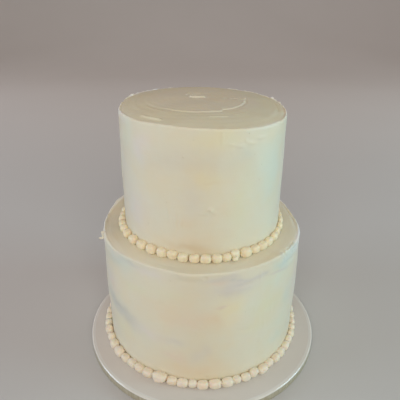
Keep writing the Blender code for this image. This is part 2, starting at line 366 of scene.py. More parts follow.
tintColours = {
    "lavender": (1.00, 0.99, 1.16),
    "slate": (0.75, 0.79, 0.91),
    "steel": (0.80, 0.94, 1.10),
    "mauve": (0.84, 0.83, 0.97),
    "peach": (1.03, 0.92, 0.82),
    "pink": (1.04, 0.88, 0.88),
    "straw": (1.06, 1.05, 0.86),
    "mint": (0.93, 1.05, 1.10),
    "cyan": (0.84, 1.05, 1.20),
    "leaf": (0.97, 1.04, 0.94),
    # painted shadow: this brown darkens the upper tier's foot, between the wall and the pearls
    "shadowBrown": (0.90, 0.76, 0.62),
    "cream": (1.07, 1.06, 1.06),
    # painted shade: this tint darkens the wall where less light falls on it
    "shade": (0.94, 0.93, 0.91),
}


# how the tints wander off their places: lengths in metres, climbs in mm, turns in degrees
tintWarp = {
    "wideSize": 0.030,
    "fineSize": 0.010,
    "wideClimb": 3.5,
    "fineClimb": 1.6,
    "wideTurn": 3.0,
    "steadyUnder": 6.0,  # a tint less high than this, in mm, wanders less
}


def tintField(points, look, centre, foot):
    # start at white; each tint is mixed in by share * exp(-(turn/halfTurn)^2 - (rise/halfRise)^2), both
    # warped, the rise counted from a line that climbs by slant mm a degree
    angle = np.arctan2(points[:, 0] - centre[0], centre[1] - points[:, 1])
    radius = np.hypot(points[:, 0] - centre[0], points[:, 1] - centre[1])
    height = (points[:, 2] - foot) / millimetre
    wide = softNoise(points, tintWarp["wideSize"], look["tintSeed"])
    fine = softNoise(points, tintWarp["fineSize"], look["tintSeed"] + 1)
    wander = tintWarp["fineClimb"] * fine + tintWarp["wideClimb"] * wide
    colours = np.ones((len(points), 3))
    onWall = smoothStep(radius, look["radius"] * 0.965, look["radius"] * 0.985)
    for name, turn, rise, halfTurn, halfRise, share, slant in look["tints"]:
        loose = min(1.0, halfRise / tintWarp["steadyUnder"])
        slide = turnFrom(angle, turn)
        climb = height - rise - slant * slide + loose * wander
        mask = share * bell(slide + tintWarp["wideTurn"] * wide, halfTurn) * bell(climb, halfRise) * onWall
        colours += mask[:, None] * (np.array(tintColours[name]) - colours)
    # painted shade and warm bounce light: the foot is a little darker and warmer near the pearls, and the
    # flat top turns more olive away from the middle
    footShade = onWall * bell(height, look["footShadeHeight"]) * (0.8 + 0.3 * fine)
    colours *= 1.0 - footShade[:, None] * (1.0 - np.array(look["footShadeColour"]))
    away = smoothStep(radius + 0.004 * wide, look["radius"] * 0.52, look["radius"] * 0.70) * (1.0 - onWall)
    colours *= 1.0 - away[:, None] * (1.0 - np.array(look["outerColour"]))
    turn = np.degrees(angle)
    # painted light and shade on the flat top
    colours *= 1.0 + (bellsRound(look["topPaintedShade"], turn) * (1.0 - onWall))[:, None]
    # painted highlight: the rim's edge, where its lip catches the light, is paler and less yellow
    nearRim = bell(radius - look["radius"] + look["highlightInset"], look["highlightWidth"])
    nearRim = nearRim * smoothStep(height, height.max() * 0.88, height.max() * 0.91)
    pale = bellsRound(look["rimPaintedHighlight"], turn) * nearRim
    return colours * (1.0 + pale[:, None] * np.array(look["highlightTint"]))


# Upper tier

upperIcing = {
    "colour": (0.82, 0.765, 0.600),
    "warmColour": (0.83, 0.750, 0.560),
    "paleColour": (0.86, 0.815, 0.67),
    "holeShadeColour": (0.55, 0.46, 0.30),
    "holeShadeShare": 0.25,
    "mottleSize": 0.030,
    "grainSize": 0.0016,
    "grainDepth": 0.00006,
    "streakLength": 4.0,
    "streakFineness": 260.0,
    "sweepLength": 26.0,
    "streakShare": 0.16,
    "streakDepth": 0.00007,
    "holeSpacing": 0.012,
    "holeSize": 0.05,
    "holeDepth": 0.0003,
    "roughness": 0.50,
    "shine": 0.4,
    "glow": 0.09,
    "glowDepth": 0.003,
    "radius": cake["upperRadius"],
    "tintSeed": 21,
    # painted shade and warm bounce light at the wall's foot: how high it reaches in mm, and its colour
    "footShadeHeight": 5.0,
    "footShadeColour": (1.0, 0.975, 0.92),
    "outerColour": (0.985, 1.0, 0.955),
    # where the rim's edge is paler, a painted highlight: turn, half turn, how much
    "rimPaintedHighlight": (
        (108, 30, 0.36), (-104, 34, 0.30), (160, 34, 0.22), (-155, 34, 0.20), (46, 12, 0.12),
    ),
    "highlightInset": 0.0012,
    "highlightWidth": 0.0021,
    "highlightTint": (0.60, 0.85, 1.75),
    # painted light and shade: where the flat top is lighter or darker under the lamps: turn, half turn, how
    # much
    "topPaintedShade": ((-74, 26, 0.06), (-20, 24, 0.02)),
    # tint, turn in degrees, height over the foot in mm, half turn, half height, share, slant in mm a degree
    # the "shade" tints are painted shade, towards the wall's sides and in a few places in the middle
    "tints": (
        ("lavender", -72, 66, 12, 60, 0.4, 0), ("shade", -84, 66, 14, 90, 0.9, 0),
        ("mint", -55, 108, 7, 12, 0.5, 0), ("lavender", -42, 100, 7, 13, 0.8, 0),
        ("lavender", -48, 38, 11, 20, 0.7, 0), ("mauve", -18, 92, 16, 9, 0.3, 0),
        ("mauve", 6, 94, 12, 6, 0.22, 0), ("steel", 27, 97, 5, 6, 0.4, 0),
        ("shade", 28, 88, 9, 16, 0.6, 0), ("shade", 0, 95, 14, 14, 0.45, 0),
        ("shade", -24, 94, 12, 14, 0.35, 0), ("cream", 52, 24, 10, 18, 0.5, 0),
        ("mint", 52, 22, 9, 14, 0.3, 0), ("straw", 8, 112, 19, 7, 0.4, 0),
        ("peach", 0, 80, 11, 11, 0.42, 0), ("straw", 2, 80, 10, 10, 0.35, 0),
        ("shadowBrown", 6, 75.5, 5, 1.1, 0.18, 0.1), ("mauve", -6, 56, 7, 18, 0.2, 0),
        ("mint", 47, 84, 13, 42, 0.75, 0), ("cyan", 54, 70, 7, 24, 0.3, 0),
        ("cream", 50, 112, 14, 6, 0.5, 0), ("peach", -79, 113, 13, 9, 0.4, 0),
        ("cream", 31, 108, 7, 1.6, 0.6, -0.25), ("leaf", 26, 50, 7, 30, 0.4, 0),
        ("peach", -9, 38, 6, 6, 0.35, 0), ("peach", -4, 22, 16, 8, 0.5, 0),
        # the brown tint at -5 degrees by the foot is painted shadow between the wall and the pearls
        ("shadowBrown", -5, 11.5, 17, 6, 0.75, -0.05), ("lavender", 76, 62, 9, 60, 0.5, 0),
        ("shade", 84, 66, 10, 90, 0.5, 0), ("lavender", 118, 70, 16, 18, 0.5, 0.3),
        ("mint", 150, 40, 14, 12, 0.4, 0), ("mauve", -150, 88, 16, 8, 0.45, 0.2),
        ("peach", 178, 66, 14, 14, 0.5, 0), ("straw", -112, 34, 16, 14, 0.5, 0),
        ("lavender", -172, 22, 12, 9, 0.4, 0), ("steel", 128, 104, 14, 6, 0.5, 0),
    ),
}

upperShape = {
    "columns": 400,
    "rimWaves": ((1, 0.00215, -92.0), (2, 0.00108, -18.0), (3, 0.00063, -6.0)),
    "wallWaves": ((2, 0.0004, 20.0), (3, 0.0003, 75.0)),
    # where the rim, and the wall under it, stand out or in: turn, half turn, how far
    "rimSwells": ((-92.0, 20.0, -0.0017), (92.0, 18.0, -0.0006), (-122.0, 14.0, 0.0006)),
    "wallSwells": ((-90.0, 45.0, 0.0006),),
    "moundHeight": 0.0078,
    "stepCentre": (-0.0061, 0.0010),
    "stepRadius": 0.0471,
    # from, to, softness of the ends and size: where the step runs wider or closer, how much of it shows,
    # how high its burr stands and where it crumbles
    "stepShifts": ((-24.0, 27.0, 4.0, 0.0014), (31.0, 92.0, 4.0, -0.0016), (104.0, 125.0, 4.0, 0.0020)),
    "stepFaint": 0.06,
    "stepShown": ((-60.0, 108.0, 12.0, 0.22), (-28.0, 92.0, 14.0, 0.60)),
    "stepHeight": 0.00040,
    "grooveDepth": 0.00026,
    "burrFaint": 0.30,
    "burrShown": ((18.0, 80.0, 8.0, 0.60),),
    "burrHeight": 0.00042,
    "crumbledSpan": (84.0, 112.0, 5.0),
    "lumpySpan": (78.0, 112.0, 6.0),
    "curlCentre": (-0.0034, 0.0108),
    "curlRadius": 0.0118,
    "curlHeight": 0.0013,
    "curlWidth": 0.0015,
    "curlFaint": 0.12,
    "curlShown": ((-38.0, 22.0, 14.0, 0.88), (-124.0, -92.0, 8.0, 0.42)),
    "ringHeight": 0.00003,
    "ringPitch": 0.00672,
    "lipHeight": 0.00054,
    "lipInset": 0.0011,
    "lipWidth": 0.0009,
    "lipFaint": 0.35,
    "lipSides": (
        (100, 34, 2.0), (116, 3.5, 1.1), (-92, 24, 1.5), (-114, 6, 1.0), (-140, 20, 0.9), (160, 30, 0.6),
    ),
    "rimUneven": 0.00022,
    "edgeUneven": 0.00018,
    "edgeRound": 0.0014,
    # strokes of the palette knife: radius from the tier's centre, from angle, to angle, width, height
    "strokes": (
        (0.0571, 7, 21, 0.0007, 0.0005), (0.0536, 31, 46, 0.0008, 0.00022),
        (0.0476, 42, 50, 0.0006, 0.00028), (0.056, -60, -33, 0.001, 0.00022),
        (0.0716, -44, -30, 0.0012, 0.0009), (0.072, -36, -29, 0.0012, 0.0006),
        (0.0682, -44, -30, 0.0012, -0.00012), (0.064, -104, -60, 0.0022, 0.00016),
        (0.015, -172, -138, 0.0008, 0.0004), (0.068, 50, 76, 0.003, 0.00026),
        (0.0745, 76, 128, 0.0028, 0.0003), (0.0708, 78, 124, 0.0008, -0.00025),
    ),
    # dabs and nicks in the wall: angle, height over the foot, half width, half height, depth outwards
    "dabs": (
        (11.8, 114, 0.0008, 0.0042, 0.0007), (18, 108, 0.003, 0.0008, 0.0008),
        (23, 106.2, 0.003, 0.0008, 0.0008), (31, 108.5, 0.0034, 0.001, 0.0009),
        (38, 112, 0.005, 0.0012, 0.0007), (27, 111, 0.0014, 0.001, 0.0009),
        (5.6, 50, 0.0016, 0.0018, 0.0014), (8.5, 47, 0.0024, 0.0008, 0.001),
        (1.5, 46, 0.004, 0.0007, 0.0009), (-21.5, 43, 0.0006, 0.005, 0.0007),
        (-19.2, 41, 0.0006, 0.0056, 0.0009), (-16.6, 39, 0.0008, 0.006, 0.001),
        (-13.6, 36, 0.0007, 0.004, 0.0008), (66, 12, 0.0024, 0.014, 0.0009),
        (150, 62, 0.003, 0.001, 0.0006), (-140, 84, 0.0008, 0.006, 0.0005),
        (96, 44, 0.001, 0.004, -0.0005),
    ),
}


# unevenness of both walls, in metres: how deep and how long each kind is
wallMarks = {"swell": (0.00026, 0.042), "ripple": (0.00007, 0.013), "band": (0.00002, 0.0062)}


def tierRings(shape, radius, tall, topRings, lipRings, wallRows):
    # radius, height and angle of a tier's points: over the top, round the rim, down the wall, under the foot
    edge = shape["edgeRound"]
    corner = np.linspace(0.0, math.pi / 2.0, 7)
    underRim = tall - edge - np.array([0.0005, 0.0011, 0.0019])
    wall = np.concatenate([underRim, np.linspace(tall - edge - 0.0030, 0.0, wallRows)])
    flat = np.concatenate([topRings, lipRings])
    foot = [radius * 0.98, radius * 0.5, 0.0]
    rimRadius = radius - edge + edge * np.sin(corner)
    rimHeight = tall - edge + edge * np.cos(corner)
    ringRadius = np.concatenate([flat, rimRadius, np.full(len(wall), radius), foot])
    ringHeight = np.concatenate([np.full(len(flat), tall), rimHeight, wall, [0.0] * len(foot)])
    angle = np.linspace(0.0, math.tau, shape["columns"], endpoint=False)
    a, r = np.meshgrid(angle, ringRadius)
    return r, np.meshgrid(angle, ringHeight)[1], a


def wallRelief(points, angle, height, shape, radius, seed):
    # slow swells of softNoise, thin bands from the scraper, and the dabs as bells in angle and height
    relief = wallMarks["swell"][0] * softNoise(points, wallMarks["swell"][1], seed)
    relief += wallMarks["ripple"][0] * softNoise(points, wallMarks["ripple"][1], seed + 1)
    level = points * (0.12, 0.12, 1.0)  # stretches the bands round the tier
    relief += wallMarks["band"][0] * softNoise(level, wallMarks["band"][1], seed + 2)
    for turn, rise, halfWidth, halfHeight, depth in shape["dabs"]:
        along = radius * np.radians(turnFrom(angle, turn))
        relief += depth * bell(along, halfWidth) * bell(height - rise * millimetre, halfHeight)
    return relief


def topRelief(x, y, shape, radius):
    # mound falling with the cube of the radius, a step with a groove outside it, a curl and the strokes
    away = np.hypot(x, y)
    angle = np.arctan2(x, -y)
    turn = np.degrees(angle)
    share = np.minimum(away / radius, 1.0)
    flat = np.stack([x, y, np.zeros_like(x)], -1)
    relief = shape["moundHeight"] * (1.0 - share ** 3)
    fromStep = np.hypot(x - shape["stepCentre"][0], y - shape["stepCentre"][1])
    stepTurn = np.degrees(np.arctan2(x - shape["stepCentre"][0], shape["stepCentre"][1] - y))
    edge = shape["stepRadius"] + 0.0003 * softNoise(flat, 0.020, 31) + 0.0003 * softNoise(flat, 0.007, 34)
    edge = edge + windowsRound(shape["stepShifts"], stepTurn)
    shown = shape["stepFaint"] + windowsRound(shape["stepShown"], stepTurn)
    gone = np.clip(0.5 + 1.3 * softNoise(flat, 0.0045, 40), 0.0, 1.0)
    shown = shown * (1.0 - window(stepTurn, *shape["crumbledSpan"]) * gone)
    relief += shape["stepHeight"] * shown * (1.0 - smoothStep(fromStep, edge - 0.0006, edge + 0.0007))
    relief -= shape["grooveDepth"] * shown * bell(fromStep - edge - 0.0015, 0.0011)
    burr = shape["burrFaint"] + windowsRound(shape["burrShown"], stepTurn) + 0.22 * softNoise(flat, 0.009, 35)
    burr = burr + window(stepTurn, *shape["lumpySpan"]) * (0.1 + 1.9 * softNoise(flat, 0.0040, 39))
    relief += shape["burrHeight"] * shown * burr * bell(fromStep - edge + 0.0004, 0.0007)
    curlX = x - shape["curlCentre"][0]
    curlY = y - shape["curlCentre"][1]
    curlTurn = np.degrees(np.arctan2(curlX, -curlY))
    curlShown = shape["curlFaint"] + windowsRound(shape["curlShown"], curlTurn)
    curlEdge = shape["curlRadius"] + 0.0004 * softNoise(flat, 0.010, 36)
    relief += shape["curlHeight"] * curlShown * bell(np.hypot(curlX, curlY) - curlEdge, shape["curlWidth"])
    for strokeRadius, first, last, width, height in shape["strokes"]:
        wander = strokeRadius + 0.0005 * softNoise(flat, 0.018, 37)
        relief += height * window(turn, first, last, 3.0) * bell(away - wander, width)
    # faint rings left by turning the cake under the knife
    rings = fromStep / shape["ringPitch"] * math.tau + 1.6 * softNoise(flat, 0.040, 32)
    relief += shape["ringHeight"] * np.cos(rings)
    relief += 0.00013 * softNoise(flat, 0.022, 33) + 0.00003 * softNoise(flat, 0.006, 38)
    return relief


def makeUpperTier():
    shape = upperShape
    radius = cake["upperRadius"]
    tall = cake["upperHeight"]
    foot = ledgeLevel + cake["restGap"]
    edge = shape["edgeRound"]
    topRings = np.linspace(0.0, radius - 0.0042, 134)
    lipRings = np.linspace(radius - 0.0037, radius - edge - 0.0003, 7)
    r, h, a = tierRings(shape, radius, tall, topRings, lipRings, 84)
    share = np.minimum(r / radius, 1.0)
    level = h / tall
    onTop = smoothStep(h, tall - edge, tall - edge * 0.3)
    x = r * np.sin(a)
    y = -r * np.cos(a)
    straight = np.stack([x, y, h], -1)
    lift = level * waveSum(shape["rimWaves"], a, share)
    lift += onTop * topRelief(x, y, shape, radius)
    ragged = 1.0 + 0.4 * ringNoise(a, 5, 40, 41) + 0.45 * ringNoise(a, 30, 110, 45)
    turn = np.degrees(a)
    sides = shape["lipFaint"] + bellsRound(shape["lipSides"], turn)
    lip = shape["lipHeight"] * ragged * sides * bell(r - radius + shape["lipInset"], shape["lipWidth"])
    uneven = shape["rimUneven"] * ringNoise(a, 8, 70, 42) * smoothStep(h, tall - 0.006, tall)
    lift += onTop * lip + uneven * smoothStep(share, 0.90, 0.98)
    swell = waveSum(shape["wallWaves"], a) * smoothStep(level, 0.1, 0.5) * share
    swell = swell + bellsRound(shape["wallSwells"], turn) * smoothStep(level, 0.1, 0.4) * share
    swell = swell + bellsRound(shape["rimSwells"], turn) * smoothStep(level, 0.5, 0.95) * share ** 4
    wall = wallRelief(straight, a, h, shape, radius, 43) * smoothStep(level, 0.01, 0.08)
    swell = swell + wall * smoothStep(share, 0.95, 1.0)
    rimNoise = ringNoise(a, 9, 80, 44) * bell(h - tall + 0.0008, 0.0015) * smoothStep(share, 0.97, 1.0)
    swell = swell + shape["edgeUneven"] * rimNoise
    grid = roundTheCake(r + swell, a, foot + h + lift, cake["upperCentre"])
    material = icingMaterial("upperIcing", upperIcing, cake["upperCentre"], foot)
    piece = closedMesh("upperTier", grid[None], material)
    putColour(piece.data, "tint", tintField(pointsOf(piece.data), upperIcing, cake["upperCentre"], foot))
    return piece


# Lower tier

lowerIcing = dict(
    upperIcing,
    radius=cake["lowerRadius"],
    tintSeed=61,
    outerColour=(1.0, 1.0, 1.0),
    # painted light and shade on the ledge, lighter or darker under the lamps
    topPaintedShade=(
        (-78, 17, -0.13), (-38, 20, 0.06), (-4, 22, -0.02), (32, 22, 0.02), (84, 20, -0.05),
    ),
    # painted highlight along the ledge's rim edge: turn, half turn, how much
    rimPaintedHighlight=((118, 36, 0.42), (-104, 34, 0.32), (80, 16, 0.28), (180, 40, 0.15)),
    # the "shade" tint is painted shade, at the left of the wall where less light falls
    tints=(
        ("cream", 18, 86, 11, 16, 0.7, 0), ("cream", -18, 88, 15, 20, 0.35, 0),
        ("cream", 62, 70, 12, 40, 0.3, 0), ("lavender", -74, 60, 9, 80, 0.4, 0),
        ("shade", -80, 60, 9, 90, 0.4, 0), ("steel", -53, 119, 12, 9, 0.5, 0.2),
        ("cyan", -46, 119, 6, 6, 0.2, 0.2), ("slate", -40, 124, 8, 2.6, 0.5, 0.1),
        ("lavender", -27, 122, 8, 5, 0.6, 0), ("lavender", -60, 88, 9, 10, 0.5, 0),
        ("pink", -60, 83, 7, 7, 0.3, 0), ("leaf", -35, 100, 6, 5, 0.4, 0),
        ("leaf", -19, 103, 9, 7, 0.35, 0), ("slate", -55, 64, 13, 7.5, 0.72, -0.5),
        ("slate", -41, 57, 7, 7, 0.42, -0.4), ("lavender", -29, 53, 9, 7, 0.6, -0.3),
        ("straw", -50, 40, 10, 10, 0.35, 0), ("peach", -14, 86, 18, 18, 0.3, 0),
        ("pink", -4, 78, 12, 12, 0.3, 0), ("pink", 9, 120, 5, 3, 0.5, 0),
        ("mauve", 10, 123.5, 8, 3, 0.6, 0), ("slate", 14, 121.5, 1.6, 1.4, 0.6, 0),
        ("slate", 18.5, 120, 3, 1.2, 0.6, 0), ("mauve", 24, 118.5, 9, 2.2, 0.8, 0),
        ("slate", 31, 118, 1.6, 1.8, 0.6, 0), ("lavender", 18, 113, 12, 6, 0.5, 0),
        ("mauve", 18, 112, 10, 6.5, 0.55, 0), ("mint", 40, 106, 13, 9, 0.6, 0),
        ("cyan", 49, 122, 12, 7.5, 0.5, 0), ("steel", 50, 121, 11, 7, 0.6, 0.1),
        ("mauve", 44, 114, 10, 1.2, 0.6, -0.2), ("lavender", 68, 90, 6, 46, 0.8, 0),
        ("pink", 67, 84, 5, 30, 0.25, 0), ("steel", 56, 76, 6, 12, 0.35, 0),
        ("leaf", 38, 82, 9, 13, 0.55, 0), ("mint", 27, 88, 6, 10, 0.3, 0),
        ("straw", 17, 90, 6, 10, 0.4, 0), ("pink", 12, 94, 3, 1.6, 0.5, 0.3),
        ("mauve", 12.5, 94, 2.4, 1.4, 0.4, 0.3), ("peach", 7, 76, 6, 7, 0.5, 0),
        ("leaf", 32, 62, 10, 8, 0.3, 0), ("mint", 50, 50, 8, 9, 0.4, 0), ("cyan", 48, 30, 8, 6, 0.3, 0),
        ("mauve", -14, 50, 6, 3.5, 0.35, -0.2), ("mauve", 1, 40, 4, 10, 0.3, 0),
        ("peach", -6, 19, 20, 11, 0.75, 0), ("pink", -13, 32, 9, 6, 0.45, 0),
        ("slate", 130, 74, 12, 6, 0.7, 0.3), ("steel", 152, 112, 14, 6, 0.6, 0),
        ("straw", 175, 52, 16, 14, 0.5, 0), ("lavender", -150, 90, 14, 10, 0.6, 0),
        ("mauve", -120, 118, 12, 5, 0.7, 0), ("peach", -168, 20, 16, 9, 0.5, 0),
        ("mint", 102, 30, 12, 10, 0.5, 0),
    ),
)

lowerShape = {
    "columns": 480,
    "rimWaves": ((2, 0.0006, 15.0), (5, 0.0004, -24.0)),
    "wallWaves": ((2, 0.0004, 80.0), (3, 0.0004, 60.0)),
    "wallSwells": ((88.0, 30.0, 0.0004),),
    # where the rim stands out or in, and rises or falls: turn, half turn, size
    "rimSwells": ((97.0, 15.0, -0.0026), (78.0, 22.0, -0.0006), (-84.0, 20.0, -0.0014),
                  (-38.0, 16.0, -0.0015), (-118.0, 12.0, 0.0015)),
    "rimRises": ((97.0, 17.0, -0.0022), (-117.0, 11.0, 0.0024)),
    "lipStart": 0.094,
    "lipHeight": 0.0011,
    "lipInset": 0.0014,
    "lipWidth": 0.0010,
    "lipBack": (85.0, 275.0, 25.0),
    "ringHeight": 0.00004,
    "ringPitch": 0.0031,
    "edgeRound": 0.0017,
    "edgeUneven": 0.00030,
    # where the scraper tore the rim: from, to, softness of the ends, and how far it falls and goes in
    "foldTurns": (48.0, 62.0, 4.0),
    "foldDepth": 0.0020,
    "foldInward": 0.0012,
    # turn, half turn, size: where the edge is pressed softer, and where icing bulges out under it
    "softDrops": ((-47.0, 17.0, 0.0007),),
    "bulges": ((-6.5, 8.0, 0.0015),),
    "flakeAngle": -73.0,
    "flakeHalfWidth": 0.0016,
    "flakeStandoff": 0.0006,
    "flakeRuffle": 0.22,
    # depth under the rim, reach, half height, lean
    "flakeLumps": (
        (0.0012, 0.0017, 0.0017, 0.25), (0.0042, 0.0015, 0.0030, 0.0), (0.0072, 0.0044, 0.0011, 0.0),
    ),
    "dabs": (
        (2.2, 126, 0.0012, 0.0011, -0.0014), (31.5, 118, 0.0007, 0.004, 0.0005),
        (32.5, 68, 0.0007, 0.0045, 0.0005), (29.5, 82, 0.0007, 0.0035, 0.0005),
        (36, 60, 0.0008, 0.004, 0.0005), (34, 42, 0.0016, 0.003, 0.0004),
        (41, 74, 0.0012, 0.006, 0.0004), (11.5, 92, 0.003, 0.001, 0.0004),
        (24, 61, 0.005, 0.0008, -0.0004), (22, 113, 0.01, 0.0014, -0.0005),
        (-52, 62, 0.012, 0.004, -0.0005), (56, 117, 0.011, 0.0018, -0.0008),
        (140, 70, 0.009, 0.002, -0.0005), (-130, 100, 0.0008, 0.005, 0.0005),
    ),
}


def flakeGrid(shape, lump, rows=14, columns=18):
    # an ellipsoid of the lump's reach and height, its radius ruffled by softNoise, half sunk in the wall
    depth, reach, halfHeight, lean = shape["flakeLumps"][lump]
    unit = unitBall(rows, columns)[2]
    unit = unit * (1.0 + shape["flakeRuffle"] * softNoise(unit, 0.9, 71 + lump))[..., None]
    out = unit[..., 0] * reach
    along = unit[..., 1] * shape["flakeHalfWidth"]
    up = unit[..., 2] * halfHeight
    turned = out * math.cos(lean) + up * math.sin(lean)
    raised = up * math.cos(lean) - out * math.sin(lean)
    angle = math.radians(shape["flakeAngle"]) + along / cake["lowerRadius"]
    radius = cake["lowerRadius"] + shape["flakeStandoff"] + turned
    return roundTheCake(radius, angle, ledgeLevel - depth + raised, cake["lowerCentre"])


def makeLowerTier():
    shape = lowerShape
    radius = cake["lowerRadius"]
    foot = cake["boardThickness"] + cake["restGap"]
    tall = ledgeLevel - foot
    edge = shape["edgeRound"]
    # few rings under the upper tier, which hides them
    topRings = np.concatenate([[0.0, 0.045, 0.070], np.linspace(0.0765, radius - 0.0038, 22)])
    lipRings = np.linspace(radius - 0.0032, radius - edge - 0.0002, 6)
    r, h, a = tierRings(shape, radius, tall, topRings, lipRings, 96)
    level = h / tall
    share = np.minimum(r / radius, 1.0)
    turn = np.degrees(a)
    straight = np.stack([r * np.sin(a), -r * np.cos(a), h], -1)
    onTop = smoothStep(h, tall - edge, tall - edge * 0.3)
    atRim = smoothStep(r, shape["lipStart"], radius - 0.0022)
    rise = waveSum(shape["rimWaves"], a) + bellsRound(shape["rimRises"], turn)
    lift = rise * atRim * smoothStep(level, 0.3, 0.9)
    ragged = 1.0 + 0.6 * ringNoise(a, 6, 70, 51)
    back = window(turn, *shape["lipBack"])
    lip = ragged * (0.1 + 0.9 * back) * bell(r - radius + shape["lipInset"], shape["lipWidth"])
    rings = np.cos(r / shape["ringPitch"] * math.tau + 1.3 * softNoise(straight, 0.045, 52))
    ledge = shape["ringHeight"] * rings + 0.00014 * softNoise(straight, 0.018, 53)
    lift += onTop * (shape["lipHeight"] * lip + smoothStep(r, 0.086, 0.090) * ledge)
    lift -= onTop * bellsRound(shape["softDrops"], turn) * smoothStep(r, radius - 0.0045, radius)
    # the torn rim falls away in crumbs
    fold = window(turn, *shape["foldTurns"]) * smoothStep(r, radius - 0.007, radius - 0.002)
    crumbs = softNoise(straight, 0.0032, 56) + 0.6 * softNoise(straight, 0.0016, 57)
    torn = fold * smoothStep(h, tall - 0.010, tall - 0.002)
    lift -= torn * shape["foldDepth"] * (0.45 + 0.35 * crumbs)
    wide = waveSum(shape["wallWaves"], a) + bellsRound(shape["wallSwells"], turn)
    swell = wide * smoothStep(level, 0.1, 0.5) * atRim
    swell = swell + bellsRound(shape["rimSwells"], turn) * smoothStep(level, 0.55, 0.95) * atRim
    swell = swell + bellsRound(shape["bulges"], turn) * smoothStep(level, 0.925, 0.985) * atRim
    swell = swell - torn * shape["foldInward"] * (0.5 + 0.5 * softNoise(straight, 0.0030, 58))
    wall = wallRelief(straight, a, h, shape, radius, 54) * smoothStep(level, 0.01, 0.08)
    swell = swell + wall * smoothStep(share, 0.95, 1.0)
    rimNoise = ringNoise(a, 9, 90, 55) * bell(h - tall + 0.0008, 0.0016) * smoothStep(share, 0.97, 1.0)
    swell = swell + shape["edgeUneven"] * rimNoise
    grid = roundTheCake(r + swell, a, foot + h + lift, cake["lowerCentre"])
    material = icingMaterial("lowerIcing", lowerIcing, cake["lowerCentre"], foot)
    piece = closedMesh("lowerTier", grid[None], material)
    lumps = [flakeGrid(shape, number) for number in range(len(shape["flakeLumps"]))]
    joinInto(piece, closedMesh("flake", np.stack(lumps), material))
    putColour(piece.data, "tint", tintField(pointsOf(piece.data), lowerIcing, cake["lowerCentre"], foot))
    return piece


def joinInto(piece, extra):
    # adds the faces of extra to piece and removes extra
    bpy.ops.object.select_all(action="DESELECT")
    extra.select_set(True)
    piece.select_set(True)
    bpy.context.view_layer.objects.active = piece
    bpy.ops.object.join()


# Borders of piped pearls

pearlIcing = {
    "colour": (0.905, 0.792, 0.634),
    "warmColour": (0.895, 0.760, 0.590),
    "paleColour": (0.94, 0.870, 0.74),
    "grooveShadeColour": (0.66, 0.55, 0.36),
    "grooveShadeShare": 0.25,
    "grainSize": 0.0012,
    "grainDepth": 0.00009,
    "patchSize": 0.006,
    "roughness": 0.48,
    "glow": 0.30,
    "glowDepth": 0.006,
}
upperPearlIcing = dict(
    pearlIcing,
    colour=(0.93, 0.805, 0.580),
    warmColour=(0.92, 0.770, 0.535),
    paleColour=(0.95, 0.865, 0.67),
)

# how every pearl is piped; a pair is the least and most, or the mean and spread, that a pearl draws
pearlShape = {
    "rows": 21,
    "columns": 32,
    "sideSquareness": 2.15,
    "frontSquareness": 0.45,
    "frontSpan": (-48.0, 46.0, 22.0),
    "swirl": (0.018, 0.045),
    "swirlTurns": 3.2,
    "peak": (0.0, 0.07),
    "peakWidth": 0.42,
    "lean": (38.0, 14.0),
    "veer": (0.0, 22.0),
    "lumps": 0.034,
    "crumbs": 0.018,
    "widthUneven": 0.10,
    "sunk": 0.82,  # share of the half height that the flat foot lies under the middle
    "footSoft": 0.0004,
    "standoff": 0.80,
    "apartSpan": (56.0, 110.0, 14.0),
    "apartShare": 0.08,
}

lowerBorder = {
    "radius": cake["lowerRadius"],
    "centre": cake["lowerCentre"],
    "level": cake["boardThickness"],
    "firstTurn": -63.7,
    # the pearls in front: width in degrees, how far out and up each was pushed in mm, size, roughness
    "shown": (
        (7.2, 0.6, 0, 1, 1), (7.1, 0.6, 0, 1.06, 1.2), (5.5, 0.6, 0, 0.94, 1.6), (5.4, 0, 0, 0.98, 1),
        (6.1, 0, 0, 1, 1), (6.2, 0.2, 0, 0.98, 1), (8.2, -0.2, 0.5, 1.14, 2.6), (5.8, -0.4, 0, 0.98, 1),
        (5.8, 0.4, 0, 0.98, 1), (4.9, 0, 0.3, 0.94, 1.4), (5.9, 1, 0, 0.98, 1), (6.8, 0.8, 0, 1, 2.4),
        (6.3, 0.8, 0, 0.98, 1), (4.6, 0.4, 0.3, 0.92, 1.2), (5.6, 0.4, 0, 0.96, 1),
        (5.3, -0.4, 0.6, 0.98, 1.6), (5.9, 0.8, 0, 1.04, 1), (5.6, -0.8, 0.2, 0.92, 1),
        (5.5, 0, 0.3, 1, 1.2), (6, -0.3, 0.3, 0.96, 1.6), (6.3, -0.3, 0, 0.96, 1.8),
        (5.5, -0.3, 0.3, 0.98, 1), (5.5, 0, 0, 1, 1), (5.5, 0, 0, 1, 1), (5.4, 0, 0, 1, 1),
    ),
    "others": 36,
    "extra": (),
    "halfDepth": 0.0043,
    "halfHeight": 0.0045,
    "mostHalfWidth": 0.0064,
    # turn, half turn and size: where the pearls are less deep, stand further out and run together
    "slim": ((82.0, 26.0, 0.10),),
    "pushedOut": ((-86.0, 18.0, 0.0010),),
    "merged": ((66.0, 14.0, 0.10),),
    "overlap": 1.04,  # width of a pearl against the room it takes
    "seed": 7,
}

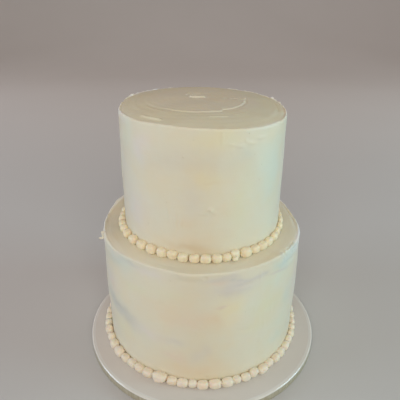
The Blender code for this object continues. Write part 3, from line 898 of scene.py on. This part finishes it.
upperBorder = {
    "radius": cake["upperRadius"],
    "centre": cake["upperCentre"],
    "level": ledgeLevel,
    "firstTurn": -66.6,
    "shown": (
        (9.6, 0, 0, 0.94, 1), (9.5, -0.2, 0.2, 0.94, 1.6), (8.7, -0.8, 0.5, 0.94, 1.2),
        (9, -1, 0.6, 0.94, 1.4), (7.3, -1.5, 0.9, 0.94, 1.2), (7.2, -1.6, 1, 0.94, 1),
        (7.5, 0, 0.5, 0.9, 1), (7.2, 0.1, 0.4, 0.9, 1), (6.8, 0.8, 0.1, 0.98, 1),
        (6.7, 0.9, 0.1, 1, 1.2), (6, 0.7, 0.2, 0.94, 1), (6.4, -1.2, 1.5, 0.94, 1.8),
        (8.3, 0.2, 0.3, 1.02, 1.4), (6.6, 0.2, 0.3, 0.98, 1), (7.1, 0.5, 0, 0.98, 1),
        (7.7, 0.4, 0, 0.98, 1), (7.4, 0.5, 0, 1, 1.4), (7.6, 0, 0, 1, 1), (8.6, 0, 0, 1, 1.6),
        (8.2, 0, 0, 1, 1),
    ),
    "others": 28,
    # a dab beside the ring: turn, width, how far out in mm, size, roughness
    "extra": ((21.0, 4.6, 4.2, 0.52, 1.6),),
    "halfDepth": 0.0042,
    "halfHeight": 0.0044,
    "mostHalfWidth": 0.0055,
    "slim": ((85.0, 45.0, 0.30),),
    "pushedOut": ((-86.0, 18.0, 0.0003),),
    "merged": ((-75.0, 30.0, 0.06),),
    "overlap": 1.02,
    "seed": 11,
}


def pearlTurns(border):
    # widths of the pearls in degrees: those at the front as piped, the rest uneven, in all 360
    draw = np.random.default_rng(border["seed"])
    rest = 1.0 + pearlShape["widthUneven"] * np.clip(draw.normal(size=border["others"]), -1.6, 2.2)
    shown = np.array([pearl[0] for pearl in border["shown"]])
    rest *= (360.0 - shown.sum()) / rest.sum()
    widths = np.concatenate([shown, rest])
    starts = border["firstTurn"] + np.concatenate([[0.0], np.cumsum(widths)[:-1]])
    return widths, starts + widths / 2.0


def pearlValues(border):
    # one row for each pearl: turn, width, out, up, size, roughness
    widths, turns = pearlTurns(border)
    values = np.zeros((len(widths), 6))
    values[:, 0] = turns
    values[:, 1] = widths
    values[:, 4:] = 1.0
    values[:len(border["shown"]), 2:] = np.array(border["shown"])[:, 1:]
    values[:, 2:4] *= millimetre
    dabs = np.array(border["extra"]).reshape(-1, 5)
    dabs = np.insert(dabs * (1.0, 1.0, millimetre, 1.0, 1.0), 3, 0.0, 1)
    return np.concatenate([values, dabs])


def makeBorder(name, border, material):
    # each pearl is |x|^p + |y|^p + |z|^p = 1 times 1 + swirl * sin(theta)^.5 * cos(phi - turns * theta) + a
    # soft peak at the nozzle's end + lumps; the peak leans outwards, and the foot is flattened
    piped = pearlShape
    values = pearlValues(border)
    count = len(values)
    turns, widths, push, raised, bulk, worked = values.T
    draw = np.random.default_rng(border["seed"] + 100)
    theta, phi, unit = unitBall(piped["rows"], piped["columns"])
    twist = draw.uniform(0.0, math.tau, count)[:, None, None]
    swirl = draw.uniform(*piped["swirl"], count)[:, None, None]
    peak = draw.uniform(*piped["peak"], count)[:, None, None]
    lean = np.radians(draw.normal(*piped["lean"], count))[:, None, None]
    veer = np.radians(draw.normal(*piped["veer"], count))[:, None, None]
    groove = np.sin(theta) ** 0.5 * np.cos(phi - piped["swirlTurns"] * theta + twist)
    apart = unit + 3.0 * np.arange(count)[:, None, None, None]
    coarse = softNoise(apart, 1.5, 81)
    fine = softNoise(apart, 0.7, 82) + 0.6 * softNoise(apart, 0.4, 83)
    size = 1.0 + swirl * groove + peak * bell(theta, piped["peakWidth"]) + piped["lumps"] * coarse
    size = size + piped["crumbs"] * worked[:, None, None] * fine
    out, along, up = np.moveaxis(unit, -1, 0)
    out, up = out * np.cos(lean) + up * np.sin(lean), up * np.cos(lean) - out * np.sin(lean)
    out, along = out * np.cos(veer) - along * np.sin(veer), along * np.cos(veer) + out * np.sin(veer)
    front = window(turns, *piped["frontSpan"])[:, None, None]
    squareness = piped["sideSquareness"] + piped["frontSquareness"] * front
    size = size * sum(np.abs(part) ** squareness for part in (out, along, up)) ** (-1.0 / squareness)
    overlap = border["overlap"] - piped["apartShare"] * window(turns, *piped["apartSpan"])
    overlap = overlap + bellsRound(border["merged"], turns)
    halfWidth = (border["radius"] + border["halfDepth"]) * np.radians(widths / 2.0) * overlap
    halfWidth = np.minimum(halfWidth, border["mostHalfWidth"] * bulk)
    # wide pearls are also a little higher and deeper; the dabs keep their own size
    share = (widths / widths[:len(border["shown"])].mean()) ** 0.35 * bulk * draw.normal(1.0, 0.02, count)
    share = np.where(bulk < 0.7, bulk, share)
    slim = 1.0 - bellsRound(border["slim"], turns)
    halfDepth = (border["halfDepth"] * share * slim)[:, None, None]
    halfHeight = (border["halfHeight"] * share)[:, None, None]
    along = along * size * halfWidth[:, None, None]
    out = out * size * halfDepth
    up = up * size * halfHeight
    # the foot: soft * log(1 + exp((up + sunk) / soft)) is flat under the pearl and follows it above
    sunk = piped["sunk"] * halfHeight
    soft = piped["footSoft"]
    up = soft * np.log1p(np.exp(np.clip((up + sunk) / soft, -40.0, 40.0)))
    up = up + raised[:, None, None] * smoothStep(up / sunk, 0.0, 1.0)
    push = push + bellsRound(border["pushedOut"], turns)
    x = border["radius"] + halfDepth * piped["standoff"] + push[:, None, None] + out
    turn = np.radians(turns)[:, None, None]
    grid = np.stack([
        border["centre"][0] + x * np.sin(turn) + along * np.cos(turn),
        border["centre"][1] - x * np.cos(turn) + along * np.sin(turn),
        border["level"] + cake["restGap"] + up,
    ], -1)
    piece = closedMesh(name, grid, material)
    perPearl = len(piece.data.vertices) // count
    putNumber(piece.data, "own", np.repeat(draw.uniform(0.0, 1.0, count), perPearl))
    # painted shade: how deep each point lies in the swirl's groove, darker the deeper
    inner = (1.0 - groove[:, 1:-1]) / 2.0 * np.sin(theta[1:-1]) ** 0.5
    ends = np.zeros((count, 1))
    grooveShade = np.concatenate([ends, (inner ** 4).reshape(count, -1), ends], 1)
    putNumber(piece.data, "grooveShade", grooveShade.ravel())
    return piece


# The board

boardLook = {
    "coverColour": (0.718, 0.672, 0.612),
    "cloudColour": (0.675, 0.645, 0.60),
    # painted glint: the lighter colour of the polished edge
    "rimGlintColour": (0.84, 0.81, 0.74),
    # painted sheen: a paler band just inside the edge, and its width
    "edgeSheenColour": (0.775, 0.765, 0.735),
    "edgeSheenWidth": 0.0036,
    "coatIndex": 1.7,
    "foilColour": (0.60, 0.55, 0.42),
    # the colour of the crinkles, and of the painted shade low on the side
    "foldAndShadeColour": (0.50, 0.44, 0.31),
    "coverRoughness": 0.40,
    "rimRoughness": 0.14,
    "foilRoughness": 0.42,
    "foilMetal": 0.35,
    "grainDepth": 0.00002,
    "foldFineness": 60.0,
    "foldDepth": 0.0004,
    "edgeRound": 0.0014,
    "bandTop": 0.0085,
    "columns": 256,
}


def coverMaterial():
    # white satin cover: faintly cloudy, paler in a band near the edge as painted sheen, polished on the edge
    # itself, and lighter there as a painted glint
    look = boardLook
    recipe = Recipe("boardCover")
    x, y, z = recipe.split(recipe.place)
    radius = (x * x + y * y).maths("SQRT")
    cloud = recipe.noise(recipe.place, 28.0, 3.0, 0.5)
    grain = recipe.noise(recipe.place, 900.0, 2.0, 0.6)
    start = cake["boardRadius"] - look["edgeRound"] - 0.0012
    rim = radius.between(start, start + 0.0012)
    base = recipe.mix(cloud.between(0.35, 0.7) * 0.35, look["coverColour"], look["cloudColour"])
    # painted sheen: a paler band near the edge
    sheenStart = cake["boardRadius"] - look["edgeSheenWidth"]
    band = radius.between(sheenStart - 0.0006, sheenStart + 0.0006)
    base = recipe.mix(band * 0.7, base, look["edgeSheenColour"])
    # painted highlight: the polished edge is lighter, standing in for the glint of the lamps
    base = recipe.mix(rim, base, look["rimGlintColour"])
    polish = look["coverRoughness"] - look["rimRoughness"]
    rough = look["coverRoughness"] + (cloud - 0.5) * 0.12 - rim * polish
    normal = recipe.bump(grain * look["grainDepth"])
    recipe.shader.inputs["Coat Roughness"].default_value = 0.08
    recipe.shader.inputs["Coat IOR"].default_value = look["coatIndex"]
    return recipe.finish(Base_Color=base, Roughness=rough, Coat_Weight=rim, Normal=normal)


def foilMaterial():
    # thin champagne foil round the board's side, crinkled where it was folded under, and darker towards the
    # bottom as painted shade
    look = boardLook
    recipe = Recipe("boardFoil")
    x, y, z = recipe.split(recipe.place)
    angle = x.maths("ARCTAN2", -y)
    fine = look["foldFineness"]
    way = recipe.join(angle.maths("SINE") * fine, angle.maths("COSINE") * fine, z * fine)
    folds = recipe.noise(way, 1.0, 3.0, 0.55)
    base = recipe.mix(folds.between(0.3, 0.75), look["foilColour"], look["foldAndShadeColour"])
    # painted shade: the foil darkens towards the bottom of the side
    base = recipe.mix(z.between(0.006, 0.0), base, look["foldAndShadeColour"])
    rough = look["foilRoughness"] + (folds - 0.5) * 0.2
    normal = recipe.bump(folds * look["foldDepth"])
    recipe.shader.inputs["Metallic"].default_value = look["foilMetal"]
    return recipe.finish(Base_Color=base, Roughness=rough, Normal=normal)


def turnedGrid(outline, columns):
    # the outline's (radius, height) points carried round a full turn
    radius, height = np.array(outline).T[..., None]
    angle = np.linspace(0.0, math.tau, columns, endpoint=False)
    return roundTheCake(radius, angle, height, (0.0, 0.0))


def makeBoard():
    radius = cake["boardRadius"]
    edge = boardLook["edgeRound"]
    corner = np.linspace(0.0, math.pi / 2.0, 9)
    top = [(r, boardTop) for r in np.linspace(0.0, radius - edge - 0.0004, 30)]
    rounded = [(radius - edge + edge * math.sin(t), boardTop - edge + edge * math.cos(t)) for t in corner]
    inner = radius - 0.0002
    side = [(inner, boardLook["bandTop"] - 0.0006), (inner, 0.0012), (radius - 0.0012, 0.0002)]
    grid = turnedGrid(top + rounded + side + [(0.0, 0.0002)], boardLook["columns"])
    return closedMesh("boardCover", grid[None], coverMaterial(), 40.0)


def makeBand():
    # the band's section, from its upper edge down the side, under the board and back up behind
    radius = cake["boardRadius"]
    top = boardLook["bandTop"]
    outline = [(radius - 0.0006, top), (radius - 0.0002, top + 0.0001), (radius, top - 0.0002)]
    outline += [(radius, h) for h in np.linspace(top - 0.0008, 0.0012, 7)]
    outline += [(radius - 0.0003, 0.0005), (radius - 0.0010, 0.0), (radius - 0.0060, 0.0)]
    outline += [(radius - 0.0060, 0.0004), (radius - 0.0016, 0.0005), (radius - 0.0006, 0.0014)]
    return bandMesh("boardBand", turnedGrid(outline, boardLook["columns"]), foilMaterial(), True)


# Stage, lights and camera

stageLook = {
    "flatRadius": 1.6,
    "bend": 1.2,
    "colour": (0.60, 0.588, 0.565),
    "cloudColour": (0.63, 0.617, 0.595),
    "cloudFineness": 3.0,
    "roughness": 0.75,
    "columns": 96,
}

view = {
    "place": (0.0, -0.41233, 0.36489),
    "pitch": 25.963,
    "yaw": -0.393,
    "roll": 0.23,
    "lens": 39.975,
}

# name: place, point aimed at, width, height, colour, watts
lamps = {
    "frontHigh": ((0.0, -1.4, 1.10), (0.0, 0.0, 0.12), 1.4, 0.6, (0.981, 1.0, 0.954), 13.8),
    "windowLeft": ((-1.6, -0.25, 0.55), (0.0, 0.0, 0.12), 0.8, 0.8, (0.604, 0.811, 1.0), 8.94),
    "windowRight": ((1.6, -0.25, 0.55), (0.0, 0.0, 0.12), 0.8, 0.8, (0.515, 0.867, 1.0), 11.26),
    "backLeft": ((-1.2, 1.1, 0.7), (0.0, 0.0, 0.12), 1.0, 0.8, (0.95, 0.95, 1.0), 2.0),
    "backRight": ((1.2, 1.1, 0.7), (0.0, 0.0, 0.12), 1.0, 0.8, (0.90, 0.97, 1.0), 2.0),
    "backdrop": ((0.0, 0.9, 1.5), (0.0, 2.3, 0.2), 1.6, 0.5, (1.0, 0.97, 0.94), 8.0),
}
roomLight = {
    "colour": (1.0, 0.543, 0.376),
    "strength": 0.163,
    "seenColour": (0.21, 0.19, 0.175),
}


def makeStage():
    # a flat round floor that bends up at its edge: radius + bend sin(t), bend (1 - cos(t))
    look = stageLook
    bend = look["bend"]
    outline = [(r, 0.0) for r in (0.0, 0.4, 0.8, 1.2)]
    for t in np.radians(np.arange(8) * 7.5):
        outline.append((look["flatRadius"] + bend * math.sin(t), bend * (1.0 - math.cos(t))))
    recipe = Recipe("floorPaint")
    cloud = recipe.noise(recipe.place, look["cloudFineness"], 2.0)
    base = recipe.mix(cloud, look["colour"], look["cloudColour"])
    paint = recipe.finish(Base_Color=base, Roughness=look["roughness"])
    bandMesh("floor", turnedGrid(outline, look["columns"]), paint, False)


def addLamps():
    for name, (place, aim, width, height, colour, watts) in lamps.items():
        light = bpy.data.lights.new(name, "AREA")
        light.shape = "RECTANGLE"
        light.size = width
        light.size_y = height
        light.color = colour
        light.energy = watts
        lamp = bpy.data.objects.new(name, light)
        lamp.location = place
        lamp.rotation_euler = (Vector(aim) - Vector(place)).to_track_quat("-Z", "Y").to_euler()
        lamp.visible_camera = False
        bpy.context.scene.collection.objects.link(lamp)
    world = bpy.data.worlds.new("room")
    world.use_nodes = True
    tree = world.node_tree
    background = tree.nodes["Background"]
    background.inputs["Color"].default_value = (*roomLight["colour"], 1.0)
    background.inputs["Strength"].default_value = roomLight["strength"]
    # past the floor's edge a plain pale room shows instead of the light's own tint
    seen = tree.nodes.new("ShaderNodeBackground")
    seen.inputs["Color"].default_value = (*roomLight["seenColour"], 1.0)
    rays = tree.nodes.new("ShaderNodeLightPath")
    both = tree.nodes.new("ShaderNodeMixShader")
    tree.links.new(rays.outputs["Is Camera Ray"], both.inputs[0])
    tree.links.new(background.outputs[0], both.inputs[1])
    tree.links.new(seen.outputs[0], both.inputs[2])
    tree.links.new(both.outputs[0], tree.nodes["World Output"].inputs["Surface"])
    bpy.context.scene.world = world


def aimCamera():
    # forward from pitch and yaw, then the picture's right and up turned by the roll
    pitch, yaw, roll = (math.radians(view[key]) for key in ("pitch", "yaw", "roll"))
    forward = Vector((math.sin(yaw) * math.cos(pitch), math.cos(yaw) * math.cos(pitch), -math.sin(pitch)))
    level = Vector((math.cos(yaw), -math.sin(yaw), 0.0))
    upright = level.cross(forward)
    right = level * math.cos(roll) + upright * math.sin(roll)
    up = upright * math.cos(roll) - level * math.sin(roll)
    lens = bpy.data.cameras.new("photoCamera")
    lens.sensor_fit = "HORIZONTAL"
    lens.sensor_width = 36.0
    lens.lens = view["lens"]
    lens.clip_start = 0.01
    camera = bpy.data.objects.new("photoCamera", lens)
    turn = Matrix((right, up, -forward)).transposed().to_4x4()
    camera.matrix_world = Matrix.Translation(Vector(view["place"])) @ turn
    bpy.context.scene.collection.objects.link(camera)
    bpy.context.scene.camera = camera


def main():
    aimCamera()
    addLamps()
    makeStage()
    print("stage, lights and camera ready")
    lowerPiped = pearlMaterial("pearlIcing", pearlIcing)
    upperPiped = pearlMaterial("upperPearlIcing", upperPearlIcing)
    made = (
        (makeBoard(), "cake_drum", "drum_foil"),
        (makeBand(), "cake_drum", "drum_foil"),
        (makeLowerTier(), "bottom_tier", "icing"),
        (makeUpperTier(), "top_tier", "icing"),
        (makeBorder("lowerPearls", lowerBorder, lowerPiped), "bottom_border", "pearl_icing"),
        (makeBorder("upperPearls", upperBorder, upperPiped), "top_border", "pearl_icing"),
    )
    for piece, node, slot in made:
        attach(piece, "root")
        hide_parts(node)
        print(piece.name, "has", len(piece.data.vertices), "points")
    scene = bpy.context.scene
    scene.view_settings.view_transform = "Standard"
    scene.view_settings.look = "None"


main()
